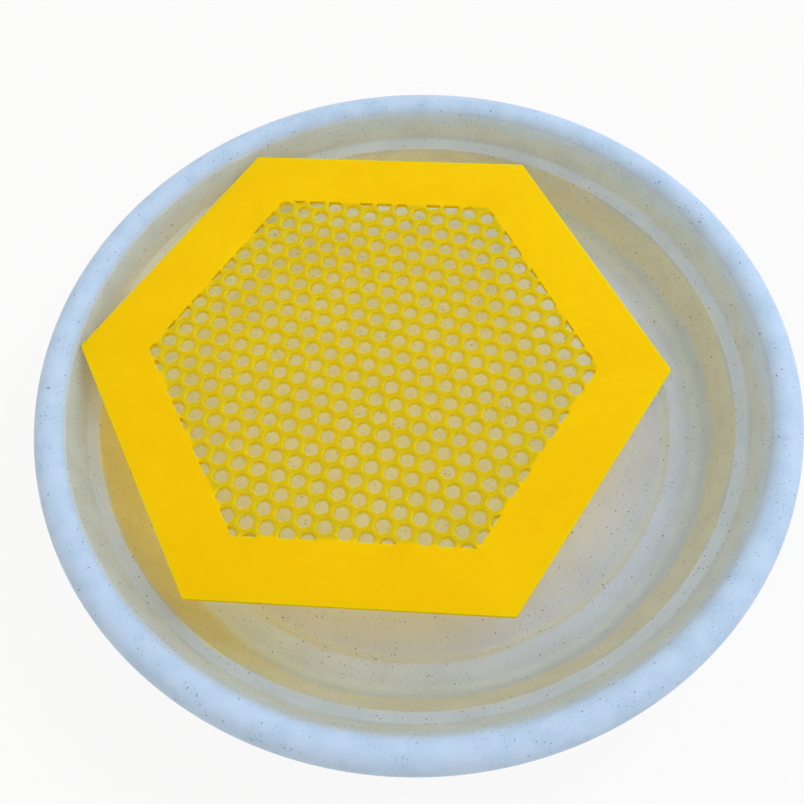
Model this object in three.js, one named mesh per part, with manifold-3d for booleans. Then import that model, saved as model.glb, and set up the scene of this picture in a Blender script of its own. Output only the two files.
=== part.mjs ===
// A bee waterer: a round basin with a rolled rim, and a flat hexagonal raft that floats in it.
// Bees stand on the raft and drink through its honeycomb openings.
// Millimetres, +Z up, origin at the middle of the basin's underside. The raft's corners lie along X.

import * as THREE from 'three';
import { mergeGeometries, mergeVertices } from 'three/addons/utils/BufferGeometryUtils.js';
import Module from 'manifold-3d';

const wasm = await Module();
wasm.setup();

// Basin, seen in section from the rim in to the floor. Each reach or inset starts where the last one ends.
const basinHeight = 45;
const rimOuterRadius = 127;
const rimRollRadius = 5.6;
const rimCurlAngle = 50;
const wallThickness = 2.4;
const rimReach = 15.2;
const ledgeWidth = 4.1;
const ledgeRise = 2.5;
const ledgeDepth = 12.2;
const ledgeEdgeRadius = 0.8;
const ledgeFilletRadius = 2.4;
const lowerWallReach = 9.7;
const coveRadius = 10;
const footInset = 7.4;
const footWidth = 5.8;
const footHeight = 0.6;
const floorRingInset = 10.3;
const floorRingWidth = 3.4;
const floorRingBevel = 0.6;
const floorRingDepth = 0.5;

// Raft, afloat in the full basin and drifted against the wall.
const raftPlay = 15.6;
const raftThickness = 2;
const raftAboveRollCentre = 0.6;
const raftWallGap = 0.45;
const raftDriftAngle = 158.6;
const borderWidth = 20.6;
const cellPitch = 6.85;
const cellWeb = 2.1;
const combAngle = 45;
const combShiftX = -0.84;
const combShiftY = -2.09;
const smallestCellShare = 0.12;
const cutOverrun = 1;

// Fineness of the round surfaces.
const basinSegments = 64;
const rollSteps = 8;
const coveSteps = 5;
const filletSteps = 2;

const basinMaterial = new THREE.MeshStandardMaterial({ color: 0xd3dae0, roughness: 0.42, metalness: 0 });
const raftMaterial = new THREE.MeshStandardMaterial({ color: 0xf2c409, roughness: 0.5, metalness: 0 });

const radians = THREE.MathUtils.degToRad;
const fullTurn = 2 * Math.PI;

function polar(radius, angle) {
  return new THREE.Vector2(radius * Math.cos(angle), radius * Math.sin(angle));
}

// Points of an arc about a centre, both ends included.
function arcPoints(centre, radius, fromAngle, toAngle, steps) {
  const points = [];
  for (let i = 0; i <= steps; i++) {
    const angle = fromAngle + (toAngle - fromAngle) * (i / steps);
    points.push(centre.clone().add(polar(radius, angle)));
  }
  return points;
}

// Points that round off a corner of an outline with a radius.
function roundedCorner(before, corner, after, radius, steps) {
  const back = before.clone().sub(corner).normalize();
  const ahead = after.clone().sub(corner).normalize();
  const halfAngle = Math.acos(back.dot(ahead)) / 2;
  const bisector = back.clone().add(ahead).normalize();
  const centre = corner.clone().addScaledVector(bisector, radius / Math.sin(halfAngle));
  const start = corner.clone().addScaledVector(back, radius / Math.tan(halfAngle));
  const startAngle = start.sub(centre).angle();
  const end = corner.clone().addScaledVector(ahead, radius / Math.tan(halfAngle));
  let sweep = end.sub(centre).angle() - startAngle;
  if (sweep > Math.PI) sweep -= fullTurn;
  if (sweep < -Math.PI) sweep += fullTurn;
  return arcPoints(centre, radius, startAngle, startAngle + sweep, steps);
}

// The same path moved to its right by a distance, with mitred corners.
function offsetPath(path, distance) {
  return path.map((point, i) => {
    const before = path[Math.max(i - 1, 0)];
    const after = path[Math.min(i + 1, path.length - 1)];
    const arriving = point.clone().sub(i > 0 ? before : after).normalize();
    const leaving = after.clone().sub(i < path.length - 1 ? point : before).normalize();
    if (i === 0) arriving.copy(leaving);
    if (i === path.length - 1) leaving.copy(arriving);
    const along = arriving.add(leaving).normalize();
    const stretch = along.dot(leaving);
    return point.clone().addScaledVector(new THREE.Vector2(along.y, -along.x), distance / stretch);
  });
}

// The basin's section, in radius and height.
const rollCentre = new THREE.Vector2(rimOuterRadius - rimRollRadius, basinHeight - rimRollRadius);
const floorTop = footHeight + wallThickness;
const ledgeInner = new THREE.Vector2(rimOuterRadius - rimReach - ledgeWidth, rollCentre.y - ledgeDepth);
const ledgeOuter = new THREE.Vector2(ledgeInner.x + ledgeWidth, ledgeInner.y + ledgeRise);
const lowerWallFoot = new THREE.Vector2(ledgeInner.x - lowerWallReach, floorTop);
const footOuterRadius = lowerWallFoot.x - footInset;
const floorRingRadius = lowerWallFoot.x - floorRingInset;

// The upper wall runs from the ledge up to where it meets the roll without a kink.
const toRoll = rollCentre.clone().sub(ledgeOuter);
const upperWallAngle = toRoll.angle() + Math.asin(rimRollRadius / toRoll.length());
const rollStartAngle = upperWallAngle + Math.PI / 2;
const upperWallTop = rollCentre.clone().add(polar(rimRollRadius, rollStartAngle));

function upperWallRadiusAt(height) {
  return ledgeOuter.x + (height - ledgeOuter.y) / Math.tan(upperWallAngle);
}

// One skin of the wall, from the cove out to the rim's lip. The path holds the wall's unrounded corners.
function wallSkin(path, cove, ledgeEdge, ledgeFillet, roll) {
  const [middle, foot, inner, outer, top] = path;
  return [
    ...roundedCorner(middle, foot, inner, cove, coveSteps),
    ...roundedCorner(foot, inner, outer, ledgeEdge, filletSteps),
    ...roundedCorner(inner, outer, top, ledgeFillet, filletSteps),
    ...arcPoints(rollCentre, roll, rollStartAngle, radians(-rimCurlAngle), rollSteps),
  ];
}

function basinSection() {
  const floorMiddle = new THREE.Vector2(0, floorTop);
  const insidePath = [floorMiddle, lowerWallFoot, ledgeInner, ledgeOuter, upperWallTop];
  const insideSkin = wallSkin(insidePath, coveRadius, ledgeEdgeRadius, ledgeFilletRadius, rimRollRadius);
  const outsideSkin = wallSkin(
    offsetPath(insidePath, wallThickness),
    coveRadius + wallThickness,
    ledgeEdgeRadius,
    ledgeFilletRadius + wallThickness,
    rimRollRadius - wallThickness,
  ).reverse();

  const ringTop = floorRingWidth / 2;
  const ringBottom = ringTop - floorRingBevel;
  const floorRing = [
    new THREE.Vector2(floorRingRadius - ringTop, floorTop),
    new THREE.Vector2(floorRingRadius - ringBottom, floorTop - floorRingDepth),
    new THREE.Vector2(floorRingRadius + ringBottom, floorTop - floorRingDepth),
    new THREE.Vector2(floorRingRadius + ringTop, floorTop),
  ];
  const foot = [
    new THREE.Vector2(footOuterRadius, footHeight),
    new THREE.Vector2(footOuterRadius, 0),
    new THREE.Vector2(footOuterRadius - footWidth, 0),
    new THREE.Vector2(footOuterRadius - footWidth, footHeight),
  ];
  return [floorMiddle, ...floorRing, ...insideSkin, ...outsideSkin, ...foot, new THREE.Vector2(0, footHeight)];
}

function makeBasin() {
  const geometry = new THREE.LatheGeometry(basinSection().reverse(), basinSegments);
  geometry.rotateX(Math.PI / 2);
  const basin = new THREE.Mesh(geometry, basinMaterial);
  basin.name = 'basin';
  return basin;
}

// Corners of a regular hexagon about a centre.
function hexagon(centre, circumradius, firstAngle) {
  const corners = [];
  for (let i = 0; i < 6; i++) {
    corners.push(centre.clone().add(polar(circumradius, firstAngle + i * radians(60))));
  }
  return corners;
}

// The part of a convex polygon on the near side of a line, given by its normal and distance.
function clipped(polygon, normal, distance) {
  const kept = [];
  polygon.forEach((point, i) => {
    const next = polygon[(i + 1) % polygon.length];
    const depth = distance - point.dot(normal);
    const nextDepth = distance - next.dot(normal);
    if (depth >= 0) kept.push(point);
    if (depth * nextDepth < 0) kept.push(point.clone().lerp(next, depth / (depth - nextDepth)));
  });
  return kept;
}

const raftBottom = rollCentre.y + raftAboveRollCentre;
const wallAtRaft = upperWallRadiusAt(raftBottom);
const raftRadius = wallAtRaft - raftPlay;
const apothemShare = Math.cos(radians(30));
const windowApothem = raftRadius * apothemShare - borderWidth;

// Honeycomb openings inside the border. Cells that the border crosses are cut straight.
function combCells() {
  const cellRadius = (cellPitch - cellWeb) / 2 / apothemShare;
  const across = polar(cellPitch, radians(combAngle));
  const along = polar(cellPitch, radians(combAngle + 60));
  const middle = new THREE.Vector2(combShiftX, combShiftY);
  const wholeCellArea = Math.abs(THREE.ShapeUtils.area(hexagon(middle, cellRadius, 0)));
  const reach = Math.ceil(raftRadius / cellPitch / apothemShare);
  const cells = [];
  for (let i = -reach; i <= reach; i++) {
    for (let j = -reach; j <= reach; j++) {
      const centre = middle.clone().addScaledVector(across, i).addScaledVector(along, j);
      let cell = hexagon(centre, cellRadius, radians(combAngle + 30));
      for (let side = 0; side < 6; side++) {
        cell = clipped(cell, polar(1, radians(30 + 60 * side)), windowApothem);
      }
      if (cell.length < 3) continue;
      if (Math.abs(THREE.ShapeUtils.area(cell)) < wholeCellArea * smallestCellShare) continue;
      cells.push(cell);
    }
  }
  return cells;
}

// The raft has drifted until its nearest corner is a gap away from the wall.
function raftCentre() {
  const reach = wallAtRaft - raftWallGap;
  const pastCorner = raftDriftAngle % 60;
  const toCorner = radians(Math.min(pastCorner, 60 - pastCorner));
  const across = raftRadius * Math.sin(toCorner);
  const drift = Math.sqrt(reach * reach - across * across) - raftRadius * Math.cos(toCorner);
  return polar(drift, radians(raftDriftAngle));
}

function prism(outline, bottom, depth) {
  const geometry = new THREE.ExtrudeGeometry(new THREE.Shape(outline), { depth, bevelEnabled: false });
  return geometry.translate(0, 0, bottom);
}

function solidOf(geometry) {
  geometry.deleteAttribute('normal');
  geometry.deleteAttribute('uv');
  const closed = mergeVertices(geometry);
  const vertProperties = closed.attributes.position.array;
  const triVerts = Uint32Array.from(closed.index.array);
  return new wasm.Manifold(new wasm.Mesh({ numProp: 3, vertProperties, triVerts }));
}

function geometryOf(solid) {
  const { vertProperties, triVerts } = solid.getMesh();
  const geometry = new THREE.BufferGeometry();
  geometry.setAttribute('position', new THREE.BufferAttribute(vertProperties, 3));
  geometry.setIndex(new THREE.BufferAttribute(triVerts, 1));
  geometry.computeVertexNormals();
  return geometry;
}

function makeRaft() {
  const plate = prism(hexagon(new THREE.Vector2(), raftRadius, 0), 0, raftThickness);
  const cutDepth = raftThickness + 2 * cutOverrun;
  const cuts = combCells().map((cell) => prism(cell, -cutOverrun, cutDepth));
  const comb = solidOf(plate).subtract(solidOf(mergeGeometries(cuts)));
  const raft = new THREE.Mesh(geometryOf(comb), raftMaterial);
  const centre = raftCentre();
  raft.position.set(centre.x, centre.y, raftBottom);
  raft.name = 'honeycomb_raft';
  return raft;
}

const waterer = new THREE.Group();
waterer.add(makeBasin(), makeRaft());

export default waterer;
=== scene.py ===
import math

import bmesh
import bpy
from mathutils import Matrix, Vector


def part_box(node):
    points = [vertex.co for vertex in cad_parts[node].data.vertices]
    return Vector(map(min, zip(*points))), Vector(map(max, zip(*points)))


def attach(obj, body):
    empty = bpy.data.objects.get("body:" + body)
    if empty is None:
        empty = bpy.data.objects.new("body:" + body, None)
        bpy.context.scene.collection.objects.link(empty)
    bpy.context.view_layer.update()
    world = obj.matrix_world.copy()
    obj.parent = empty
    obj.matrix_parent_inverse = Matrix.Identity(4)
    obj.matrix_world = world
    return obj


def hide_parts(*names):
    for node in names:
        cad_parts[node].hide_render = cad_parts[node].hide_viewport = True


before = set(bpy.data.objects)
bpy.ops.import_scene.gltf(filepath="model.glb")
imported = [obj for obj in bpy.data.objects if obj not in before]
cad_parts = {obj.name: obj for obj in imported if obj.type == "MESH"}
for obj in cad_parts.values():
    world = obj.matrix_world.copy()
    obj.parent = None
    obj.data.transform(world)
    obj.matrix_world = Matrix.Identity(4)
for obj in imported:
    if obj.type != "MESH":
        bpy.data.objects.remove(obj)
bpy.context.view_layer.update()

# Sizes are in millimetres, as on a drawing, and become metres where a mesh is made.
MM = 0.001

# Camera. It stands over the viewer's side of the basin and looks down into it.
IMAGE_SIDE_PIXELS = 804
FOCAL_LENGTH_PIXELS = 1012.6
SENSOR_WIDTH = 36
CAMERA_PLACE = (16.0, -168.1, 334.8)
CAMERA_TURN = math.radians(7.04)
CAMERA_TILT = math.radians(-61.56)
CAMERA_ROLL = math.radians(3.73)

# Basin, in section from the floor out to the rim.
BASIN_HEIGHT = 45
RIM_OUTER_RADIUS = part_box("basin")[1].x / MM
RIM_ROLL_RADIUS = 5.6
RIM_CURL_ANGLE = math.radians(50)
WALL_THICKNESS = 2.4
FOOT_HEIGHT = 0.6
FOOT_OUTER_RADIUS = 90.6
FOOT_WIDTH = 5.8
FOOT_EDGE_RADIUS = 0.25
FLOOR_RING_RADIUS = 87.7
FLOOR_RING_WIDTH = 3.2
FLOOR_RING_BEVEL = 1.0
FLOOR_RING_DEPTH = 0.3
COVE_RADIUS = 10
LOWER_WALL_FOOT_RADIUS = 98
LEDGE_INNER_RADIUS = 107.7
LEDGE_DEPTH = 12.2
LEDGE_WIDTH = 4.1
LEDGE_RISE = 2.5
LEDGE_EDGE_RADIUS = 0.8
LEDGE_FILLET_RADIUS = 2.4

# How finely the basin is turned and rounded off
BASIN_SEGMENTS = 240
COVE_STEPS = 14
LEDGE_EDGE_STEPS = 6
LEDGE_FILLET_STEPS = 8
ROLL_STEPS = 36
ROLL_INSIDE_STEPS = 24
LIP_STEPS = 8
SMALL_STEPS = 3

# Raft. Its outline comes from the frame.
RAFT_LOW, RAFT_HIGH = (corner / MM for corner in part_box("honeycomb_raft"))
RAFT_APOTHEM = (RAFT_HIGH.y - RAFT_LOW.y) / 2
RAFT_MIDDLE = (RAFT_LOW + RAFT_HIGH) / 2
RAFT_THICKNESS = RAFT_HIGH.z - RAFT_LOW.z
RAFT_CORNER_RADIUS = 1.0
RAFT_CORNER_STEPS = 5
RAFT_EDGE_RADIUS = 0.3
RAFT_EDGE_STEPS = 4
BORDER_WIDTH = 20.6
WINDOW_APOTHEM = RAFT_APOTHEM - BORDER_WIDTH

# Cells. One is cut if its middle lies no further past the window than the overhang.
CELL_PITCH = 6.85
CELL_WEB_TOP = 1.2
CELL_WEB_BOTTOM = 2.4
CELL_EDGE_RADIUS = 0.3
CELL_EDGE_STEPS = 3
CELL_CORNER_RADIUS = 1.7
CELL_OVERHANG = 1.65
COMB_ANGLE = math.radians(45)
COMB_SHIFT = Vector((-0.84, -2.09))
CUT_OVERRUN = 0.5

# Water. It reaches a little into the plastic, so that no film of air is left between them.
WATER_DEPTH_ON_RAFT = 1.2
WATER_OVERLAP = 0.4
MENISCUS_RISE = 0.6
MENISCUS_REACH = 2.7
MENISCUS_WIDTH = 9
MENISCUS_STEPS = 12

# Floor and sky. The floor's white share is what the camera sees of it as plain white.
WHITE = (1, 1, 1, 1)
FLOOR_COLOUR = (0.72, 0.70, 0.66, 1)
FLOOR_WHITE_SHARE = 0.9
FLOOR_RADIUS = 6000
FLOOR_SEGMENTS = 96
SKY_COOL_SIDE = Vector((0.55, 0.2, 0.8)).normalized()
SKY_COOL = (0.84, 0.82, 0.86, 1)
SKY_WARM = (0.76, 0.70, 0.60, 1)
SKY_WARM_UNTIL = -0.4

# Light that passes through the raft
GLOW_RADIUS = 92
GLOW_GAP = 0.5
GLOW_POWER = 0.060
GLOW_COLOUR = (0.95, 0.59, 0.0)
GLOW_SPREAD = math.radians(120)

# Edges sharper than these angles, in degrees, stay sharp.
SMOOTH_BELOW = 30
BASIN_SMOOTH_BELOW = 50
WATER_SMOOTH_BELOW = 40
MERGE_DISTANCE = 0.0005

HEXAGON_SIDES = 6
SIXTH_TURN = math.radians(60)
APOTHEM_SHARE = math.cos(math.radians(30))


def make_camera():
    data = bpy.data.cameras.new("camera")
    data.sensor_width = SENSOR_WIDTH
    data.lens = SENSOR_WIDTH * FOCAL_LENGTH_PIXELS / IMAGE_SIDE_PIXELS
    camera = bpy.data.objects.new("camera", data)
    look_ahead = Matrix.Rotation(math.radians(90), 4, "X")
    turn = Matrix.Rotation(CAMERA_TURN, 4, "Z")
    tilt = Matrix.Rotation(CAMERA_TILT, 4, "X")
    roll = Matrix.Rotation(CAMERA_ROLL, 4, "Y")
    place = Matrix.Translation(Vector(CAMERA_PLACE) * MM)
    camera.matrix_world = place @ turn @ tilt @ roll @ look_ahead
    bpy.context.scene.collection.objects.link(camera)
    bpy.context.scene.camera = camera


make_camera()


# Outlines


def polar(radius, angle):
    return Vector((radius * math.cos(angle), radius * math.sin(angle)))


def arc(centre, radius, start, end, steps):
    """Points of an arc about a centre, both ends included."""
    angles = (start + (end - start) * i / steps for i in range(steps + 1))
    return [centre + polar(radius, angle) for angle in angles]


def angle_of(vector):
    return math.atan2(vector.y, vector.x)


def rounded_corner(before, corner, after, radius, steps):
    """Points that round off one corner of an outline."""
    back = (before - corner).normalized()
    ahead = (after - corner).normalized()
    half = back.angle(ahead) / 2
    centre = corner + (back + ahead).normalized() * (radius / math.sin(half))
    reach = radius / math.tan(half)
    start = angle_of(corner + back * reach - centre)
    end = angle_of(corner + ahead * reach - centre)
    sweep = (end - start + math.pi) % math.tau - math.pi
    return arc(centre, radius, start, start + sweep, steps)


def rounded_outline(corners, radius, steps):
    """A closed outline with each corner rounded off."""
    points = []
    for i, corner in enumerate(corners):
        after = corners[(i + 1) % len(corners)]
        points += rounded_corner(corners[i - 1], corner, after, radius, steps)
    return points


def rounded_path(path, radius, steps):
    """An open path with each inner corner rounded off and without its two ends."""
    points = []
    for before, corner, after in zip(path, path[1:], path[2:]):
        points += rounded_corner(before, corner, after, radius, steps)
    return points


def offset_path(path, distance):
    """The same open path moved to its right by a distance, with mitred corners."""
    moved = []
    for i, point in enumerate(path):
        arriving = (point - path[i - 1]).normalized() if i else None
        leaving = (path[i + 1] - point).normalized() if i + 1 < len(path) else arriving
        along = ((arriving or leaving) + leaving).normalized()
        stretch = along.dot(leaving)
        moved.append(point + Vector((along.y, -along.x)) * (distance / stretch))
    return moved


def hexagon(middle, apothem, first_angle):
    radius = apothem / APOTHEM_SHARE
    return [middle + polar(radius, first_angle + i * SIXTH_TURN) for i in range(HEXAGON_SIDES)]


def side_directions():
    """Which way each side of the raft faces."""
    return [polar(1, (side + 0.5) * SIXTH_TURN) for side in range(HEXAGON_SIDES)]


# The basin's section, in radius and height

roll_centre = Vector((RIM_OUTER_RADIUS - RIM_ROLL_RADIUS, BASIN_HEIGHT - RIM_ROLL_RADIUS))
floor_top = FOOT_HEIGHT + WALL_THICKNESS
ledge_inner = Vector((LEDGE_INNER_RADIUS, roll_centre.y - LEDGE_DEPTH))
ledge_outer = ledge_inner + Vector((LEDGE_WIDTH, LEDGE_RISE))
to_roll = roll_centre - ledge_outer
upper_wall_angle = angle_of(to_roll) + math.asin(RIM_ROLL_RADIUS / to_roll.length)
roll_start = upper_wall_angle + math.pi / 2
upper_wall_top = roll_centre + polar(RIM_ROLL_RADIUS, roll_start)
wall_path = [
    Vector((0, floor_top)),
    Vector((LOWER_WALL_FOOT_RADIUS, floor_top)),
    ledge_inner,
    ledge_outer,
    upper_wall_top,
]


def wall_skin(path, cove, ledge_edge, ledge_fillet):
    """One skin of the wall, from the cove to the foot of the roll."""
    middle, foot, inner, outer, top = path
    return [
        *rounded_corner(middle, foot, inner, cove, COVE_STEPS),
        *rounded_corner(foot, inner, outer, ledge_edge, LEDGE_EDGE_STEPS),
        *rounded_corner(inner, outer, top, ledge_fillet, LEDGE_FILLET_STEPS),
    ]


def floor_ring():
    """The shallow groove in the floor over the foot."""
    half = FLOOR_RING_WIDTH / 2
    corners = [
        (-half - FLOOR_RING_BEVEL, 0),
        (-half, 0),
        (-half + FLOOR_RING_BEVEL, -FLOOR_RING_DEPTH),
        (half - FLOOR_RING_BEVEL, -FLOOR_RING_DEPTH),
        (half, 0),
        (half + FLOOR_RING_BEVEL, 0),
    ]
    path = [Vector((FLOOR_RING_RADIUS + r, floor_top + z)) for r, z in corners]
    return rounded_path(path, FLOOR_RING_BEVEL / 2, SMALL_STEPS)


def inside_skin():
    """The surface that holds the water, from the middle of the floor to the foot of the roll."""
    skin = wall_skin(wall_path, COVE_RADIUS, LEDGE_EDGE_RADIUS, LEDGE_FILLET_RADIUS)
    return [Vector((0, floor_top)), *floor_ring(), *skin]


def basin_section():
    """The basin's whole outline, and how many of its stretches lie inside the rim's crest."""
    inside = inside_skin()
    steps_to_crest = ROLL_STEPS // 3
    lip_angle = -RIM_CURL_ANGLE
    half_wall = WALL_THICKNESS / 2
    roll_outside = arc(roll_centre, RIM_ROLL_RADIUS, roll_start, lip_angle, ROLL_STEPS)
    lip_centre = roll_centre + polar(RIM_ROLL_RADIUS - half_wall, lip_angle)
    lip = arc(lip_centre, half_wall, lip_angle, lip_angle - math.pi, LIP_STEPS)
    inner_radius = RIM_ROLL_RADIUS - WALL_THICKNESS
    roll_inside = arc(roll_centre, inner_radius, lip_angle, roll_start, ROLL_INSIDE_STEPS)
    outside = wall_skin(
        offset_path(wall_path, WALL_THICKNESS),
        COVE_RADIUS + WALL_THICKNESS,
        LEDGE_EDGE_RADIUS,
        LEDGE_FILLET_RADIUS + WALL_THICKNESS,
    )
    foot_inner = FOOT_OUTER_RADIUS - FOOT_WIDTH
    foot = [
        Vector((FOOT_OUTER_RADIUS + FOOT_HEIGHT, FOOT_HEIGHT)),
        Vector((FOOT_OUTER_RADIUS, FOOT_HEIGHT)),
        Vector((FOOT_OUTER_RADIUS, 0)),
        Vector((foot_inner, 0)),
        Vector((foot_inner, FOOT_HEIGHT)),
        Vector((foot_inner - FOOT_HEIGHT, FOOT_HEIGHT)),
    ]
    foot_outline = rounded_path(foot, FOOT_EDGE_RADIUS, SMALL_STEPS)
    underside = [*reversed(outside), *foot_outline, Vector((0, FOOT_HEIGHT))]
    section = [*inside, *roll_outside, *lip[1:-1], *roll_inside, *underside]
    return section, len(inside) + steps_to_crest


# Meshes


def object_from(mesh_builder, name, smooth_below=SMOOTH_BELOW):
    """A piece from a bmesh, shaded smooth except at edges sharper than an angle in degrees."""
    bmesh.ops.remove_doubles(mesh_builder, verts=mesh_builder.verts, dist=MERGE_DISTANCE)
    bmesh.ops.recalc_face_normals(mesh_builder, faces=mesh_builder.faces)
    mesh = bpy.data.meshes.new(name)
    mesh_builder.to_mesh(mesh)
    mesh_builder.free()
    mesh.transform(Matrix.Scale(MM, 4))
    piece = bpy.data.objects.new(name, mesh)
    bpy.context.scene.collection.objects.link(piece)
    shade(mesh, smooth_below)
    return piece


def shade(mesh, smooth_below=SMOOTH_BELOW):
    for face in mesh.polygons:
        face.use_smooth = True
    mesh.set_sharp_from_angle(angle=math.radians(smooth_below))


def lathe(section, segments, steps_of_first_material):
    """A closed body turned about Z. Its section starts and ends on the axis."""
    builder = bmesh.new()
    rings = []
    for point in section:
        if point.x == 0:
            rings.append([builder.verts.new((0, 0, point.y))] * segments)
            continue
        turns = (polar(point.x, math.tau * i / segments) for i in range(segments))
        rings.append([builder.verts.new((turn.x, turn.y, point.y)) for turn in turns])
    for step, (lower, upper) in enumerate(zip(rings, rings[1:])):
        for i in range(segments):
            after = (i + 1) % segments
            corners = [lower[i], lower[after], upper[after], upper[i]]
            face = builder.faces.new(dict.fromkeys(corners))
            face.material_index = 0 if step < steps_of_first_material else 1
    return builder


def stack(builder, outlines):
    """Adds a closed body of stacked outlines, each a list of points and a height."""
    rings = []
    for points, height in outlines:
        rings.append([builder.verts.new((point.x, point.y, height)) for point in points])
    for lower, upper in zip(rings, rings[1:]):
        for i in range(len(lower)):
            builder.faces.new((lower[i - 1], lower[i], upper[i], upper[i - 1]))
    builder.faces.new(reversed(rings[0]))
    builder.faces.new(rings[-1])


def make_basin():
    section, inside_steps = basin_section()
    builder = lathe(section, BASIN_SEGMENTS, inside_steps)
    basin = object_from(builder, "speckled_basin", BASIN_SMOOTH_BELOW)
    basin.data.materials.append(inside_plastic())
    basin.data.materials.append(rim_plastic())
    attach(basin, "basin")
    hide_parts("basin")


def raft_plate():
    """The raft before its cells are cut, with rounded corners and edges."""
    outlines = []
    for i in range(RAFT_EDGE_STEPS + 1):
        angle = i / RAFT_EDGE_STEPS * math.pi / 2
        inset = RAFT_EDGE_RADIUS * (1 - math.sin(angle))
        rise = RAFT_EDGE_RADIUS * (1 - math.cos(angle))
        corners = hexagon(RAFT_MIDDLE.to_2d(), RAFT_APOTHEM - inset, 0)
        points = rounded_outline(corners, RAFT_CORNER_RADIUS, RAFT_CORNER_STEPS)
        outlines.append((points, RAFT_LOW.z + rise))
    for points, height in reversed(outlines[:]):
        outlines.append((points, RAFT_LOW.z + RAFT_HIGH.z - height))
    builder = bmesh.new()
    stack(builder, outlines)
    return object_from(builder, "honeycomb_print")


def cell_middles():
    """The middles of the cells in and just outside the window in the border."""
    across = polar(CELL_PITCH, COMB_ANGLE)
    along = polar(CELL_PITCH, COMB_ANGLE + SIXTH_TURN)
    reach = math.ceil(RAFT_APOTHEM / CELL_PITCH / APOTHEM_SHARE)
    sides = side_directions()
    for i in range(-reach, reach + 1):
        for j in range(-reach, reach + 1):
            middle = COMB_SHIFT + across * i + along * j
            if max(middle.dot(side) for side in sides) < WINDOW_APOTHEM + CELL_OVERHANG:
                yield middle


def cell_levels():
    """Heights and widths across flats of a cell, a funnel with a rounded upper edge."""
    narrow = CELL_PITCH - CELL_WEB_BOTTOM
    wide = CELL_PITCH - CELL_WEB_TOP
    levels = [
        (-CUT_OVERRUN, narrow),
        (CELL_EDGE_RADIUS, narrow),
        (RAFT_THICKNESS - 2 * CELL_EDGE_RADIUS, wide - CELL_EDGE_RADIUS),
    ]
    for i in range(1, CELL_EDGE_STEPS + 1):
        angle = i / CELL_EDGE_STEPS * math.pi / 2
        height = RAFT_THICKNESS - CELL_EDGE_RADIUS * (1 - math.sin(angle))
        levels.append((height, wide + 2 * CELL_EDGE_RADIUS * (0.5 - math.cos(angle))))
    levels.append((RAFT_THICKNESS + CUT_OVERRUN, levels[-1][1]))
    return levels


def cell_cutters():
    """All cells' openings as closed bodies, cut off straight at the window in the border."""
    builder = bmesh.new()
    offset = RAFT_MIDDLE.to_2d()
    for middle in cell_middles():
        outlines = []
        for height, width in cell_levels():
            corners = hexagon(middle + offset, width / 2, COMB_ANGLE + SIXTH_TURN / 2)
            points = rounded_outline(corners, CELL_CORNER_RADIUS, SMALL_STEPS)
            outlines.append((points, RAFT_LOW.z + height))
        stack(builder, outlines)
    for outwards in side_directions():
        on_side = offset + outwards * WINDOW_APOTHEM
        bmesh.ops.bisect_plane(
            builder,
            geom=[*builder.verts, *builder.edges, *builder.faces],
            plane_co=on_side.to_3d(),
            plane_no=outwards.to_3d(),
            clear_outer=True,
        )
        open_edges = [edge for edge in builder.edges if edge.is_boundary]
        bmesh.ops.holes_fill(builder, edges=open_edges, sides=0)
    return object_from(builder, "cell_cutters")


def cut(piece, cutter):
    """Cuts one piece with another, which is then deleted."""
    modifier = piece.modifiers.new("cut", "BOOLEAN")
    modifier.operation = "DIFFERENCE"
    modifier.solver = "MANIFOLD"
    modifier.object = cutter
    bpy.context.view_layer.update()
    graph = bpy.context.evaluated_depsgraph_get()
    mesh = bpy.data.meshes.new_from_object(piece.evaluated_get(graph))
    piece.modifiers.clear()
    piece.data = mesh
    bpy.data.objects.remove(cutter)


def make_raft():
    raft = raft_plate()
    cut(raft, cell_cutters())
    shade(raft.data)
    raft.data.materials.clear()
    raft.data.materials.append(yellow_print())
    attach(raft, "raft")
    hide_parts("honeycomb_raft")


def make_water():
    """The basin's contents: its inside skin moved into the plastic, closed by the surface."""
    level = RAFT_LOW.z + WATER_DEPTH_ON_RAFT
    shell = offset_path([*inside_skin(), upper_wall_top], WATER_OVERLAP)
    shell[0].x = 0
    edge = upper_wall_top.x + WATER_OVERLAP
    surface = []
    for i in range(MENISCUS_STEPS + 1):
        distance = MENISCUS_WIDTH * (i / MENISCUS_STEPS) ** 2
        height = level + MENISCUS_RISE * math.exp(-distance / MENISCUS_REACH)
        surface.append(Vector((edge - distance, height)))
    below_surface = [point for point in shell if point.y < surface[0].y - WATER_OVERLAP]
    section = [*below_surface, *surface, Vector((0, level))]
    builder = lathe(section, BASIN_SEGMENTS, len(section))
    water = object_from(builder, "water", WATER_SMOOTH_BELOW)
    water.data.materials.append(clear_water())
    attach(water, "basin")


# Materials


def srgb(red, green, blue):
    """A colour written as 0 to 255 on a screen, as the light that it stands for."""
    shares = (channel / 255 for channel in (red, green, blue))
    light = [s / 12.92 if s <= 0.04045 else ((s + 0.055) / 1.055) ** 2.4 for s in shares]
    return (*light, 1)


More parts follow.
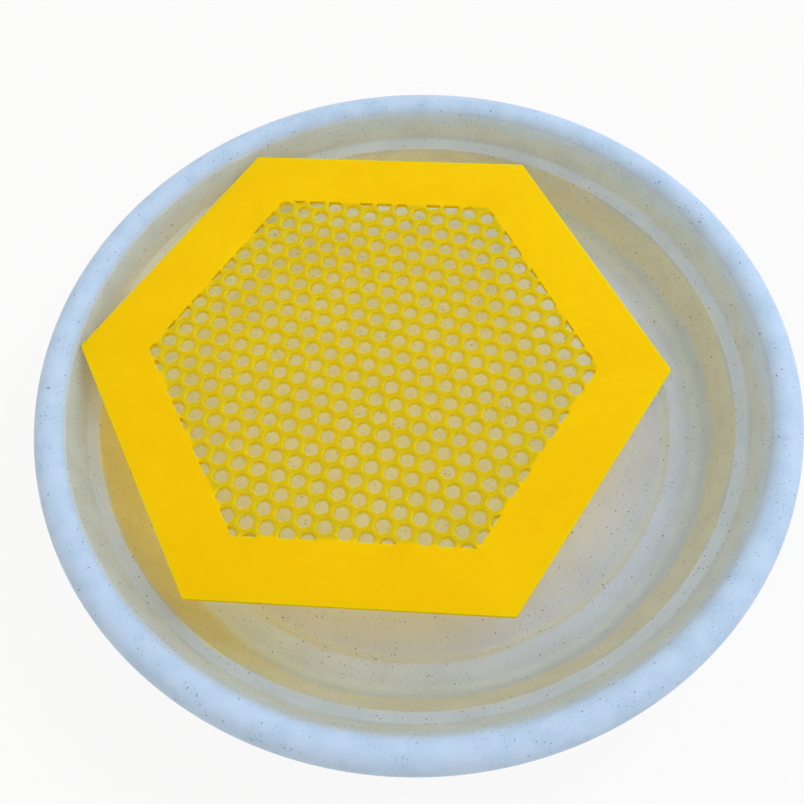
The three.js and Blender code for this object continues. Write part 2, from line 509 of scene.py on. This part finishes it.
class Nodes:
    """Short calls for building the nodes of a material or of the world."""

    def __init__(self, made):
        self.made = made
        self.made.use_nodes = True
        self.nodes = self.made.node_tree.nodes
        self.links = self.made.node_tree.links

    def feed(self, socket, value):
        if isinstance(value, bpy.types.NodeSocket):
            self.links.new(value, socket)
        else:
            socket.default_value = value

    def add(self, kind, inputs=None, **settings):
        node = self.nodes.new("ShaderNode" + kind)
        for name, value in settings.items():
            setattr(node, name, value)
        for name, value in (inputs or {}).items():
            self.feed(node.inputs[name], value)
        return node

    def math(self, operation, first, second=0.0):
        return self.add("Math", {0: first, 1: second}, operation=operation).outputs[0]

    def range(self, value, low, high, to_low=0.0, to_high=1.0, smooth=True):
        """The value taken from one range to another, without leaving it."""
        shape = "SMOOTHSTEP" if smooth else "LINEAR"
        sockets = {
            "Value": value,
            "From Min": low,
            "From Max": high,
            "To Min": to_low,
            "To Max": to_high,
        }
        return self.add("MapRange", sockets, interpolation_type=shape).outputs["Result"]

    def mix(self, share, first, second):
        node = self.add("Mix", {0: share, 6: first, 7: second}, data_type="RGBA")
        return node.outputs[2]

    def distance_along(self, place, angle):
        """How many millimetres a place lies from the origin in a level direction."""
        outwards = polar(1 / MM, angle).to_3d()
        along = self.add("VectorMath", {0: place, 1: outwards}, operation="DOT_PRODUCT")
        return along.outputs["Value"]

    def seen(self):
        """1 for what is seen, also in gloss or through water, and 0 for light on the rest."""
        path = self.add("LightPath").outputs
        share = path["Is Camera Ray"]
        for name in ("Is Glossy Ray", "Is Transmission Ray"):
            share = self.math("MAXIMUM", share, path[name])
        return share

    def finish(self, share, first, second, output):
        """Sends a blend of two shaders to the output."""
        blend = self.add("MixShader", {0: share, 1: first, 2: second})
        self.links.new(blend.outputs[0], self.nodes[output].inputs["Surface"])


class Material(Nodes):
    """A material with one main shader."""

    def __init__(self, name):
        super().__init__(bpy.data.materials.new(name))
        self.shader = self.nodes["Principled BSDF"]
        self.place = self.add("TexCoord").outputs["Object"]

    def surface(self, **inputs):
        """Sets the shader's sockets, whose names are given in small letters."""
        for name, value in inputs.items():
            socket = name.replace("_", " ").title().replace("Ior", "IOR")
            self.feed(self.shader.inputs[socket], value)

    def noise(self, size, detail=3.0):
        """Cloudy noise whose patches are about size millimetres wide."""
        sockets = {"Vector": self.place, "Scale": 1 / (size * MM), "Detail": detail}
        return self.add("TexNoise", sockets).outputs["Fac"]

    def flecks(self, spacing, radius, share):
        """Round flecks scattered through the plastic: 1 in a fleck and 0 outside."""
        cells = self.add("TexVoronoi", {"Vector": self.place, "Scale": 1 / (spacing * MM)})
        chance = self.add("SeparateColor", {0: cells.outputs["Color"]})
        size = self.range(chance.outputs[1], 0, 1, to_low=SMALLEST_FLECK, smooth=False)
        own_radius = self.math("MULTIPLY", size, radius / spacing)
        depth = self.math("SUBTRACT", own_radius, cells.outputs["Distance"])
        inside = self.range(depth, 0, FLECK_BLUR * radius / spacing)
        present = self.math("LESS_THAN", chance.outputs[0], share)
        return self.math("MULTIPLY", inside, present)

    def side(self, angle, low, high):
        """0 to 1 between two distances from the middle towards one side."""
        return self.range(self.distance_along(self.place, angle), low, high)

    def bump(self, height, strength, distance, normal=None):
        sockets = {"Height": height, "Strength": strength, "Distance": distance * MM}
        if normal is not None:
            sockets["Normal"] = normal
        return self.add("Bump", sockets).outputs["Normal"]


# The plastic's flecks, each kind with its spacing, its radius and how dark it is. The smaller
# ones crowd together in patches.
FLECKS = (
    (4.2, 0.52, 0.75),
    (2.1, 0.4, 0.75),
    (1.25, 0.28, 0.7),
    (0.75, 0.2, 0.6),
)
FLECK_COLOUR = srgb(62, 70, 84)
FLECK_SHARE = 0.8
FLECK_BLUR = 0.25
SMALLEST_FLECK = 0.4
CROWDED_BELOW_RADIUS = 0.4

# The basin's inside in rings. Each starts between two radii, and drifts between two colours in
# patches of one size. In order: the groove in the floor, the floor around it, the foot of the
# cove, the beige lower wall, the ledge and the upper wall.
FLOOR_COLOURS = (srgb(192, 205, 230), srgb(187, 200, 224), 16)
INSIDE_RINGS = (
    (85.2, 87.0, (srgb(199, 210, 220), srgb(194, 205, 214), 8)),
    (88.4, 90.4, (srgb(200, 219, 247), srgb(195, 213, 241), 13)),
    (95.4, 98.2, (srgb(211, 230, 250), srgb(205, 224, 244), 13)),
    (100.3, 103.1, (srgb(230, 234, 216), srgb(223, 227, 208), 11)),
    (107.0, 108.2, (srgb(211, 224, 232), srgb(205, 218, 226), 13)),
    (111.0, 112.8, (srgb(224, 234, 234), srgb(218, 227, 226), 9)),
)
RING_WANDER = 0.6

# Just below the waterline the wall is bluer, except towards the side given here, where the upper
# wall's warmer colour stays as painted yellow light from the raft.
UNDER_WATERLINE_STARTS = (114.0, 115.7)
UNDER_WATERLINE_COLOURS = (srgb(218, 236, 249), srgb(212, 230, 243), 9)
PAINTED_RAFT_LIGHT_SIDE = (math.radians(165), 30, 80)

# The lower wall is painted golden towards this side: painted shade of the raft, lit yellow by
# light through the print.
LOWER_WALL_STARTS = (97, 101)
LOWER_WALL_ENDS = (107.0, 108.2)
PAINTED_RAFT_SHADE_SIDE = (math.radians(210), 72, 100)
PAINTED_RAFT_SHADE_COLOURS = (srgb(230, 226, 161), srgb(223, 219, 153), 11)

# A narrow greyer band of painted shade on the roll's inner side, over the waterline, and then the
# bare plastic of the rim
ROLL_SHADE_STARTS = (116.2, 116.6)
ROLL_SHADE_COLOURS = (srgb(191, 206, 221), srgb(186, 201, 215), 9)
RIM_STARTS = (116.4, 117.6)
RIM_COLOURS = (srgb(189, 213, 237), srgb(179, 205, 230), 9)


# Most of a noise's values lie between these, and a cloud's two colours meet between the closer.
NOISE_SPREAD = (0.3, 0.7)
CLOUD_BLEND = (0.35, 0.65)


def clouded(material, light, dark, size):
    """A colour that drifts between two in patches of about one size."""
    share = material.range(material.noise(size, detail=4), *CLOUD_BLEND)
    return material.mix(share, light, dark)


def add_flecks(material, colour, strength):
    """The dark flecks moulded into the basin's plastic."""
    patches = material.noise(9, detail=2)
    crowded = material.range(patches, 0.4, 0.62, to_low=0.25)
    for spacing, radius, contrast in FLECKS:
        flecks = material.flecks(spacing, radius, FLECK_SHARE)
        flecks = material.math("MULTIPLY", flecks, contrast * strength)
        if radius < CROWDED_BELOW_RADIUS:
            flecks = material.math("MULTIPLY", flecks, crowded)
        colour = material.mix(flecks, colour, FLECK_COLOUR)
    return colour


def plastic_finish(material):
    """The plastic's faint orange peel and its satin gloss."""
    waves = material.bump(material.noise(14, detail=2), strength=0.25, distance=0.25)
    peel = material.noise(0.9, detail=2)
    material.surface(
        normal=material.bump(peel, strength=0.12, distance=0.06, normal=waves),
        roughness=material.range(material.noise(5), *NOISE_SPREAD, to_low=0.34, to_high=0.46),
        specular_ior_level=0.4,
    )


def rim_plastic():
    """The bare plastic of the rim and of the outside."""
    material = Material("speckled_rim_plastic")
    colour = clouded(material, *RIM_COLOURS)
    material.surface(base_color=add_flecks(material, colour, strength=0.6))
    plastic_finish(material)
    return material.made


def inside_plastic():
    """The plastic of the inside, up to the rim's crest, in rings of colour with painted shade and
    painted raft light.
    """
    material = Material("speckled_inside_plastic")
    place = material.add("SeparateXYZ", {0: material.place})
    flat = material.add("CombineXYZ", {0: place.outputs[0], 1: place.outputs[1]})
    length = material.add("VectorMath", {0: flat.outputs[0]}, operation="LENGTH")
    radius = material.math("DIVIDE", length.outputs["Value"], MM)
    drift = material.noise(22)
    drift = material.range(drift, *NOISE_SPREAD, to_low=-RING_WANDER, to_high=RING_WANDER)
    edge = material.math("ADD", radius, drift)

    def cover(colour, share, colours):
        return material.mix(share, colour, clouded(material, *colours))

    colour = clouded(material, *FLOOR_COLOURS)
    for first, last, colours in INSIDE_RINGS:
        colour = cover(colour, material.range(edge, first, last), colours)
    # On the side with painted yellow light from the raft, the bluer band under the waterline is
    # left out.
    painted_raft_light = material.side(*PAINTED_RAFT_LIGHT_SIDE)
    under_waterline = material.range(edge, *UNDER_WATERLINE_STARTS)
    under_waterline_blue = material.math("MULTIPLY", under_waterline, material.math("SUBTRACT", 1.0, painted_raft_light))
    colour = cover(colour, under_waterline_blue, UNDER_WATERLINE_COLOURS)
    below_ledge = material.range(edge, *LOWER_WALL_ENDS, to_low=1.0, to_high=0.0)
    lower_wall = material.math("MULTIPLY", material.range(edge, *LOWER_WALL_STARTS), below_ledge)
    # Painted golden shade of the raft on the lower wall, towards one side
    painted_raft_shade = material.math("MULTIPLY", lower_wall, material.side(*PAINTED_RAFT_SHADE_SIDE))
    colour = cover(colour, painted_raft_shade, PAINTED_RAFT_SHADE_COLOURS)
    # Painted shade on the roll's inner side, then the rim's bare plastic
    colour = cover(colour, material.range(radius, *ROLL_SHADE_STARTS), ROLL_SHADE_COLOURS)
    colour = cover(colour, material.range(radius, *RIM_STARTS), RIM_COLOURS)
    material.surface(base_color=add_flecks(material, colour, strength=0.7))
    plastic_finish(material)
    return material.made


# The print. Its lines and layers are as wide and as high as a printer lays them.
BORDER_COLOURS = (srgb(247, 205, 3), srgb(244, 201, 2), 34)
# The webs are painted darker and greener than the border: painted shade between the cells.
WEB_PAINTED_SHADE_COLOURS = (srgb(211, 189, 22), srgb(206, 186, 22), 20)
# The cells' steep walls are painted lighter: painted light that fills their shade.
CELL_WALL_PAINTED_LIGHT = srgb(255, 222, 34)
WEB_COLOUR_ENDS = (WINDOW_APOTHEM - 1.5, WINDOW_APOTHEM + 0.2)
PRINT_LINE_WIDTH = 0.42
PRINT_LAYER_HEIGHT = 0.2
WAVE_LENGTH_AT_SCALE_1 = 0.314


def comb_share(material):
    """1 in the window of cells, whose thin webs are painted darker as shade between the cells,
    and 0 in the border.
    """
    middle = (RAFT_MIDDLE.x * MM, RAFT_MIDDLE.y * MM, 0)
    place = material.add("VectorMath", {0: material.place, 1: middle}, operation="SUBTRACT")
    reach = 0.0
    for side in range(HEXAGON_SIDES // 2):
        along = material.distance_along(place.outputs[0], (side + 0.5) * SIXTH_TURN)
        reach = material.math("MAXIMUM", reach, material.math("ABSOLUTE", along))
    return material.range(reach, *WEB_COLOUR_ENDS, to_low=1.0, to_high=0.0)


def yellow_print():
    """Satin yellow print: diagonal infill lines on its faces and layer lines on its edges."""
    material = Material("yellow_print")
    direction = material.add("NewGeometry").outputs["Normal"]
    upright = material.add("SeparateXYZ", {0: direction}).outputs[2]
    steep = material.range(material.math("ABSOLUTE", upright), 0.5, 0.9, to_low=1.0, to_high=0.0)
    # Painted shade on the webs, painted light on the steep cell walls
    comb = material.mix(steep, clouded(material, *WEB_PAINTED_SHADE_COLOURS), CELL_WALL_PAINTED_LIGHT)
    colour = material.mix(comb_share(material), clouded(material, *BORDER_COLOURS), comb)

    turned = material.add("VectorRotate", {"Vector": material.place, "Angle": COMB_ANGLE})
    waves = {
        "Vector": turned.outputs[0],
        "Scale": WAVE_LENGTH_AT_SCALE_1 / (PRINT_LINE_WIDTH * MM),
        "Distortion": 0.1,
        "Detail": 0.0,
    }
    lines = material.add("TexWave", waves, bands_direction="X").outputs["Fac"]
    height = material.add("SeparateXYZ", {0: material.place}).outputs[2]
    turns = material.math("MULTIPLY", height, math.tau / (PRINT_LAYER_HEIGHT * MM))
    layers = material.math("SINE", turns)
    faces = material.math("MULTIPLY", lines, material.math("SUBTRACT", 1.0, steep))
    edges = material.math("MULTIPLY", layers, steep)
    texture = material.math("ADD", faces, edges)
    grain = material.bump(material.noise(0.6), strength=0.2, distance=0.05)

    material.surface(
        base_color=colour,
        normal=material.bump(texture, strength=0.2, distance=0.02, normal=grain),
        roughness=material.range(material.noise(3), *NOISE_SPREAD, to_low=0.42, to_high=0.58),
        specular_ior_level=0.04,
        subsurface_weight=1.0,
        subsurface_radius=(1.0, 0.75, 0.08),
        subsurface_scale=3.0 * MM,
    )
    return material.made


def clear_water():
    """Clear water, which bends the light on its way in and out."""
    material = Material("clear_water")
    material.surface(
        base_color=WHITE,
        roughness=0.0,
        ior=1.333,
        transmission_weight=1.0,
        specular_ior_level=0.5,
    )
    return material.made


# Stage


def floor_finish():
    """A pale floor that keeps the shadow and looks almost white where it is seen."""
    material = Material("white_floor")
    material.surface(base_color=FLOOR_COLOUR, roughness=0.9, specular_ior_level=0.0)
    white = material.add("Emission", {"Color": WHITE, "Strength": 1.0})
    share = material.math("MULTIPLY", material.seen(), FLOOR_WHITE_SHARE)
    material.finish(share, material.shader.outputs[0], white.outputs[0], "Material Output")
    return material.made


def make_floor():
    builder = bmesh.new()
    bmesh.ops.create_circle(
        builder, cap_ends=True, segments=FLOOR_SEGMENTS, radius=FLOOR_RADIUS
    )
    floor = object_from(builder, "floor")
    floor.data.materials.append(floor_finish())


def make_world():
    """White where it is seen. Its light is cool from the upper right and warm from the left."""
    world = Nodes(bpy.data.worlds.new("sky"))
    bpy.context.scene.world = world.made
    light = world.nodes["Background"]
    towards = world.add("TexCoord").outputs["Generated"]
    along = world.add("VectorMath", {0: towards, 1: SKY_COOL_SIDE}, operation="DOT_PRODUCT")
    share = world.range(along.outputs["Value"], SKY_WARM_UNTIL, 1.0, smooth=False)
    world.feed(light.inputs["Color"], world.mix(share, SKY_WARM, SKY_COOL))
    white = world.add("Background", {"Color": WHITE, "Strength": 1.0})
    world.finish(world.seen(), light.outputs[0], white.outputs[0], "World Output")


def make_glow():
    """The light that the yellow print lets through to the water below it."""
    data = bpy.data.lights.new("glow_under_raft", "AREA")
    data.shape = "DISK"
    data.size = 2 * GLOW_RADIUS * MM
    data.energy = GLOW_POWER
    data.color = GLOW_COLOUR
    data.spread = GLOW_SPREAD
    glow = bpy.data.objects.new("glow_under_raft", data)
    glow.location = Vector((RAFT_MIDDLE.x, RAFT_MIDDLE.y, RAFT_LOW.z - GLOW_GAP)) * MM
    glow.visible_camera = False
    glow.visible_glossy = False
    glow.visible_transmission = False
    bpy.context.scene.collection.objects.link(glow)
    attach(glow, "raft")


def make_lamp(name, azimuth, elevation, distance, size, power, colour):
    """A square soft lamp that faces the origin, with its angles in degrees and size in metres."""
    data = bpy.data.lights.new(name, "AREA")
    data.size = size
    data.energy = power
    data.color = colour
    lamp = bpy.data.objects.new(name, data)
    flat = polar(math.cos(math.radians(elevation)), math.radians(azimuth))
    direction = Vector((flat.x, flat.y, math.sin(math.radians(elevation))))
    lamp.location = direction * distance
    lamp.rotation_mode = "QUATERNION"
    lamp.rotation_quaternion = direction.to_track_quat("Z", "Y")
    lamp.visible_glossy = False
    bpy.context.scene.collection.objects.link(lamp)


make_floor()
make_world()
make_lamp(
    "sun_side",
    azimuth=28,
    elevation=47,
    distance=1.5,
    size=0.8,
    power=8.0,
    colour=(0.76, 0.86, 1.0),
)
make_glow()
make_basin()
make_raft()
make_water()
bpy.context.scene.view_settings.view_transform = "Standard"
